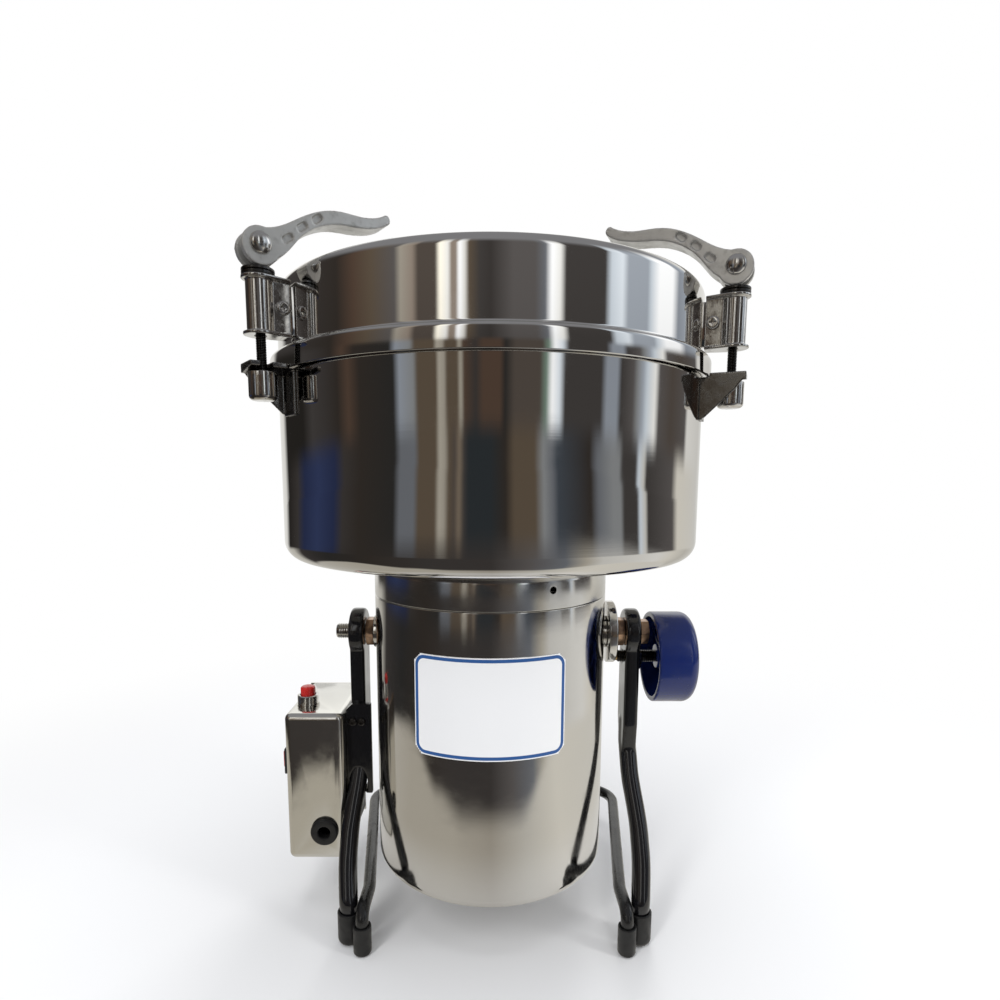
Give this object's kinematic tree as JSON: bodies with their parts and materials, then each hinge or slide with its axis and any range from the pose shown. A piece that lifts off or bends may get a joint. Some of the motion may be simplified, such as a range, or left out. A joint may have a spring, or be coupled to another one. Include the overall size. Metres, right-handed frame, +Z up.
{
  "type": "powder grinder",
  "caption": "Tilting powder grinder: a steel bowl with a clamped lid on a motor housing that swings between two uprights, with a control box.",
  "frame": {"origin": "middle of the whole object's footprint, on the bench that the feet stand on", "axes": "+Z up; -Y is the front, with the name plate and the cord inlet; +X is the side of the tilt-lock knob; the bowl axis is vertical, 3.06 mm left of and 9.84 mm in front of the origin"},
  "size_m": [0.2806, 0.2858, 0.4308],
  "materials": {
    "polished_steel": "mirror-polished stainless sheet",
    "steel_part": "turned or machined steel",
    "chrome_part": "bright nickel-chrome plate",
    "lever_metal": "satin die-cast metal",
    "black_paint": "gloss black enamel",
    "matte_black": "moulded black plastic",
    "blue_knob": "gloss dark blue plastic",
    "red_plastic": "gloss red plastic",
    "rubber": "black rubber",
    "seal_rubber": "pale silicone rubber",
    "cast_metal": "turned aluminium casting",
    "lamination": "stacked steel laminations",
    "copper": "enamelled copper",
    "brass_part": "plated brass",
    "label_face": "satin aluminium sheet, bare",
    "black_steel": "blackened steel"
  },
  "bodies": {
    "stand": {"upright_left": "black_paint", "upright_right": "black_paint", "floor_bar": "black_paint", "rubber_feet": "rubber", "box_shell": "polished_steel", "box_back": "polished_steel", "box_bracket": "black_paint", "box_screws": "black_steel", "reset_collar": "chrome_part", "overload_breaker": "matte_black", "rocker_bezel": "matte_black", "cord_grommet": "rubber"},
    "pot": {"bowl": "polished_steel", "bowl_gasket": "rubber", "bowl_screws": "steel_part", "shaft_seal": "seal_rubber", "motor_housing": "polished_steel", "base_cover": "steel_part", "base_screws": "steel_part", "neck_casting": "cast_metal", "lower_bracket": "cast_metal", "shaft_bearings": "steel_part", "stator_core": "lamination", "field_coils": "copper", "brush_holders": "brass_part", "label_plate": "label_face", "trunnion_studs": "chrome_part", "trunnion_nuts": "brass_part", "brake_disc": "chrome_part", "lid_forks": "polished_steel"},
    "rotor": {"rotor_shaft": "steel_part", "armature": "lamination", "commutator": "copper", "cooling_fan": "matte_black", "lower_blade": "steel_part", "upper_blade": "steel_part", "blade_spacer": "steel_part", "blade_nut": "steel_part"},
    "lid_seal": {"lid_gasket": "seal_rubber"},
    "lid": {"lid_shell": "polished_steel", "clamp_brackets": "chrome_part", "bracket_screws": "chrome_part", "clamp_collars": "black_steel"},
    "lock_tip": {"lock_pad": "brass_part"},
    "lock_hand": {"lock_knob": "blue_knob", "lock_screw": "black_steel"},
    "reset": {"reset_button": "red_plastic"},
    "rocker": {"rocker_key": "red_plastic"},
    "rod_right": {"draw_rod_right": "steel_part", "rod_nut_right": "chrome_part"},
    "lever_right": {"cam_lever_right": "lever_metal", "lever_pin_right": "chrome_part"},
    "rod_rear": {"draw_rod_rear": "steel_part", "rod_nut_rear": "chrome_part"},
    "lever_rear": {"cam_lever_rear": "lever_metal", "lever_pin_rear": "chrome_part"},
    "rod_left": {"draw_rod_left": "steel_part", "rod_nut_left": "chrome_part"},
    "lever_left": {"cam_lever_left": "lever_metal", "lever_pin_left": "chrome_part"}
  },
  "joints": [
    {"name": "pot_swing", "type": "hinge", "parent": "stand", "child": "pot", "pos_m": [-0.00306, -0.00984, 0.188], "axis": [1, 0, 0], "range_deg": [0, 90]},
    {"name": "rotor_spin", "type": "hinge", "parent": "pot", "child": "rotor", "pos_m": [-0.00306, -0.00984, 0.2], "axis": [0, 0, 1], "continuous": true},
    {"name": "lid_rise", "type": "slide", "parent": "pot", "child": "lid_seal", "axis": [0, 0, 1], "range_m": [0, 0.035]},
    {"name": "lid_turn", "type": "hinge", "parent": "lid_seal", "child": "lid", "pos_m": [-0.00306, -0.00984, 0.36], "axis": [0, 0, 1], "range_deg": [0, 100]},
    {"name": "lock_slide", "type": "slide", "parent": "stand", "child": "lock_tip", "axis": [1, 0, 0], "range_m": [0, 0.003]},
    {"name": "lock_turn", "type": "hinge", "parent": "lock_tip", "child": "lock_hand", "pos_m": [0.09694, -0.00984, 0.171], "axis": [1, 0, 0], "range_deg": [0, 720]},
    {"name": "reset_push", "type": "slide", "parent": "stand", "child": "reset", "axis": [0, 0, -1], "range_m": [0, 0.0025], "stiffness_N_per_m": 300, "springref_m": -0.001},
    {"name": "rocker_tilt", "type": "hinge", "parent": "stand", "child": "rocker", "pos_m": [-0.13576, -0.01784, 0.104], "axis": [0, 0, 1], "range_deg": [0, 24]},
    {"name": "rod_drop_right", "type": "slide", "parent": "lid", "child": "rod_right", "axis": [0, 0, -1], "range_m": [0, 0.00217]},
    {"name": "lever_turn_right", "type": "hinge", "parent": "rod_right", "child": "lever_right", "pos_m": [0.12948, -0.06638, 0.40218], "axis": [0.3923, 0.9198, 0], "range_deg": [0, 160]},
    {"name": "rod_drop_rear", "type": "slide", "parent": "lid", "child": "rod_rear", "axis": [0, 0, -1], "range_m": [0, 0.00217]},
    {"name": "lever_turn_rear", "type": "hinge", "parent": "rod_rear", "child": "lever_rear", "pos_m": [-0.02038, 0.13322, 0.40218], "axis": [-0.9928, -0.1201, 0], "range_deg": [0, 160]},
    {"name": "rod_drop_left", "type": "slide", "parent": "lid", "child": "rod_left", "axis": [0, 0, -1], "range_m": [0, 0.00217]},
    {"name": "lever_turn_left", "type": "hinge", "parent": "rod_left", "child": "lever_left", "pos_m": [-0.1183, -0.09636, 0.40218], "axis": [0.6004, -0.7997, 0], "range_deg": [0, 160]}
  ],
  "couplings": [
    {"joint": "lid_rise", "follows": "lid_turn", "m_per_rad": 0.019996},
    {"joint": "lock_turn", "follows": "lock_slide", "rad_per_m": 4188.8},
    {"joint": "lever_turn_right", "follows": "rod_drop_right", "rad_per_m": 1288.8},
    {"joint": "lever_turn_rear", "follows": "rod_drop_rear", "rad_per_m": 1288.8},
    {"joint": "lever_turn_left", "follows": "rod_drop_left", "rad_per_m": 1288.8}
  ]
}
